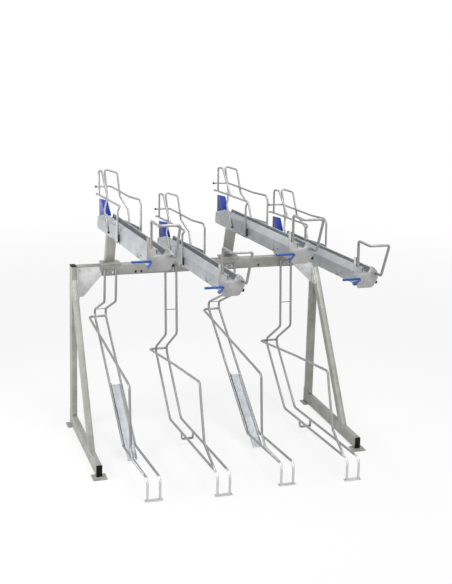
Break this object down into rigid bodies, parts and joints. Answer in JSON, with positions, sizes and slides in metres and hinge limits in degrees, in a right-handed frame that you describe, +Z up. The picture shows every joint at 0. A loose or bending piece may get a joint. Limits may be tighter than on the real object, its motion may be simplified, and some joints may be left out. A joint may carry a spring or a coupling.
{
  "type": "two tier bike rack",
  "caption": "Free-standing galvanised bike rack: sliding, tilting upper wheel channels with pull handles above bent round-bar stands for the lower row.",
  "frame": {"origin": "middle of the whole rack's outline, on the floor", "axes": "+X to the right along the crossbeam, -Y to the front where bicycles come in, +Z up"},
  "size_m": [1.957, 1.9113, 1.8877],
  "materials": {
    "galvanised": "hot-dip galvanised, matt warm grey",
    "zinc_sheet": "zinc-coated folded sheet, satin cool grey",
    "bright_bar": "bright zinc plated round bar",
    "blue_paint": "smooth blue powder coat",
    "blue_stop": "smooth deep blue powder coat",
    "black_plastic": "matt black moulded"
  },
  "bodies": {
    "frame": {"left_base": "galvanised", "left_post": "galvanised", "left_strut": "galvanised", "left_base_cap": "black_plastic", "left_post_cap": "black_plastic", "left_gusset": "galvanised", "right_base": "galvanised", "right_post": "galvanised", "right_strut": "galvanised", "right_base_cap": "black_plastic", "right_post_cap": "black_plastic", "right_gusset": "galvanised", "crossbeam": "galvanised", "stand_1": "bright_bar", "stand_2": "bright_bar", "stand_3": "bright_bar", "stand_4": "bright_bar", "stand_1_gutter": "zinc_sheet", "stand_3_gutter": "zinc_sheet", "support_post_1": "galvanised", "support_rail_1": "galvanised", "support_post_2": "galvanised", "support_rail_2": "galvanised", "support_post_3": "galvanised", "support_rail_3": "galvanised", "support_post_4": "galvanised", "support_rail_4": "galvanised"},
    "cradle_1": {"cradle_1": "galvanised"},
    "roller_1": {"roller_1": "black_plastic"},
    "channel_1": {"channel_1": "zinc_sheet", "pull_handle_1": "galvanised", "front_wheel_holder_1": "bright_bar", "wheel_stop_1": "blue_stop"},
    "lever_1": {"release_lever_1": "blue_paint", "lever_cap_1": "black_plastic"},
    "cradle_2": {"cradle_2": "galvanised"},
    "roller_2": {"roller_2": "black_plastic"},
    "channel_2": {"channel_2": "zinc_sheet", "pull_handle_2": "galvanised", "front_wheel_holder_2": "bright_bar", "wheel_stop_2": "blue_stop"},
    "lever_2": {"release_lever_2": "blue_paint", "lever_cap_2": "black_plastic"},
    "cradle_3": {"cradle_3": "galvanised"},
    "roller_3": {"roller_3": "black_plastic"},
    "channel_3": {"channel_3": "zinc_sheet", "pull_handle_3": "galvanised", "front_wheel_holder_3": "bright_bar", "wheel_stop_3": "blue_stop"},
    "lever_3": {"release_lever_3": "blue_paint", "lever_cap_3": "black_plastic"},
    "cradle_4": {"cradle_4": "galvanised"},
    "roller_4": {"roller_4": "black_plastic"},
    "channel_4": {"channel_4": "zinc_sheet", "pull_handle_4": "galvanised", "front_wheel_holder_4": "bright_bar", "wheel_stop_4": "blue_stop"},
    "lever_4": {"release_lever_4": "blue_paint", "lever_cap_4": "black_plastic"}
  },
  "joints": [
    {"name": "tilt_1", "type": "hinge", "parent": "frame", "child": "cradle_1", "pos_m": [-0.649, -0.07438, 1.51442], "axis": [1, 0, 0], "range_deg": [0, 42]},
    {"name": "slide_1", "type": "slide", "parent": "cradle_1", "child": "channel_1", "axis": [0, -0.9987, 0.0511], "range_m": [0, 0.85]},
    {"name": "roller_spin_1", "type": "hinge", "parent": "cradle_1", "child": "roller_1", "pos_m": [-0.649, -0.32738, 1.56011], "axis": [1, 0, 0], "continuous": true},
    {"name": "lever_lift_1", "type": "hinge", "parent": "channel_1", "child": "lever_1", "pos_m": [-0.649, -0.76105, 1.53855], "axis": [-1, 0, 0], "range_deg": [0, 25]},
    {"name": "tilt_2", "type": "hinge", "parent": "frame", "child": "cradle_2", "pos_m": [-0.199, -0.07438, 1.33242], "axis": [1, 0, 0], "range_deg": [0, 42]},
    {"name": "slide_2", "type": "slide", "parent": "cradle_2", "child": "channel_2", "axis": [0, -0.9987, 0.0511], "range_m": [0, 0.85]},
    {"name": "roller_spin_2", "type": "hinge", "parent": "cradle_2", "child": "roller_2", "pos_m": [-0.199, -0.32738, 1.37811], "axis": [1, 0, 0], "continuous": true},
    {"name": "lever_lift_2", "type": "hinge", "parent": "channel_2", "child": "lever_2", "pos_m": [-0.199, -0.76105, 1.35655], "axis": [-1, 0, 0], "range_deg": [0, 25]},
    {"name": "tilt_3", "type": "hinge", "parent": "frame", "child": "cradle_3", "pos_m": [0.251, -0.07438, 1.51442], "axis": [1, 0, 0], "range_deg": [0, 42]},
    {"name": "slide_3", "type": "slide", "parent": "cradle_3", "child": "channel_3", "axis": [0, -0.9987, 0.0511], "range_m": [0, 0.85]},
    {"name": "roller_spin_3", "type": "hinge", "parent": "cradle_3", "child": "roller_3", "pos_m": [0.251, -0.32738, 1.56011], "axis": [1, 0, 0], "continuous": true},
    {"name": "lever_lift_3", "type": "hinge", "parent": "channel_3", "child": "lever_3", "pos_m": [0.251, -0.76105, 1.53855], "axis": [-1, 0, 0], "range_deg": [0, 25]},
    {"name": "tilt_4", "type": "hinge", "parent": "frame", "child": "cradle_4", "pos_m": [0.701, -0.07438, 1.33242], "axis": [1, 0, 0], "range_deg": [0, 42]},
    {"name": "slide_4", "type": "slide", "parent": "cradle_4", "child": "channel_4", "axis": [0, -0.9987, 0.0511], "range_m": [0, 0.85]},
    {"name": "roller_spin_4", "type": "hinge", "parent": "cradle_4", "child": "roller_4", "pos_m": [0.701, -0.32738, 1.37811], "axis": [1, 0, 0], "continuous": true},
    {"name": "lever_lift_4", "type": "hinge", "parent": "channel_4", "child": "lever_4", "pos_m": [0.701, -0.76105, 1.35655], "axis": [-1, 0, 0], "range_deg": [0, 25]}
  ],
  "couplings": [
    {"joint": "roller_spin_1", "follows": "slide_1", "rad_per_m": 71.429},
    {"joint": "roller_spin_2", "follows": "slide_2", "rad_per_m": 71.429},
    {"joint": "roller_spin_3", "follows": "slide_3", "rad_per_m": 71.429},
    {"joint": "roller_spin_4", "follows": "slide_4", "rad_per_m": 71.429}
  ]
}
